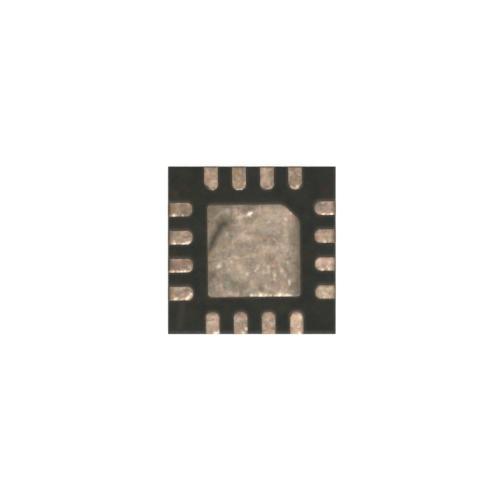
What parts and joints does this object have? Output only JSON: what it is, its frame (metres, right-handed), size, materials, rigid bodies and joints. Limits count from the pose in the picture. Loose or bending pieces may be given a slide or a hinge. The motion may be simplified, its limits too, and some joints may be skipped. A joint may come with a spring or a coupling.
{
  "type": "integrated circuit",
  "caption": "Square flat no-lead integrated circuit package, lying on its marking face, with flush edge terminals and a bevelled exposed thermal pad.",
  "frame": {"origin": "centre of the marking face, which the package lies on", "axes": "+Z out of the solder face, away from the marking face; +X and +Y towards the sides next to the bevelled corner of the exposed pad, so that terminal 1 is the first on +X, nearest the +X +Y corner"},
  "size_m": [0.003, 0.003, 0.0008],
  "materials": {
    "mould_compound": "matte moulded epoxy, sawn on its sides",
    "tin_plated_copper": "matte tin plating on copper, bare copper where sawn",
    "die_attach_adhesive": "cured silver-filled adhesive",
    "silicon": "polished silicon",
    "bond_wire_gold": "drawn gold wire"
  },
  "bodies": {
    "root": {"mould_body": "mould_compound", "die_pad": "tin_plated_copper", "die_attach": "die_attach_adhesive", "silicon_die": "silicon", "terminal_01": "tin_plated_copper", "terminal_02": "tin_plated_copper", "terminal_03": "tin_plated_copper", "terminal_04": "tin_plated_copper", "terminal_05": "tin_plated_copper", "terminal_06": "tin_plated_copper", "terminal_07": "tin_plated_copper", "terminal_08": "tin_plated_copper", "terminal_09": "tin_plated_copper", "terminal_10": "tin_plated_copper", "terminal_11": "tin_plated_copper", "terminal_12": "tin_plated_copper", "terminal_13": "tin_plated_copper", "terminal_14": "tin_plated_copper", "terminal_15": "tin_plated_copper", "terminal_16": "tin_plated_copper", "bond_wire_01": "bond_wire_gold", "bond_wire_02": "bond_wire_gold", "bond_wire_03": "bond_wire_gold", "bond_wire_04": "bond_wire_gold", "bond_wire_05": "bond_wire_gold", "bond_wire_06": "bond_wire_gold", "bond_wire_07": "bond_wire_gold", "bond_wire_08": "bond_wire_gold", "bond_wire_09": "bond_wire_gold", "bond_wire_10": "bond_wire_gold", "bond_wire_11": "bond_wire_gold", "bond_wire_12": "bond_wire_gold", "bond_wire_13": "bond_wire_gold", "bond_wire_14": "bond_wire_gold", "bond_wire_15": "bond_wire_gold", "bond_wire_16": "bond_wire_gold"}
  },
  "joints": []
}
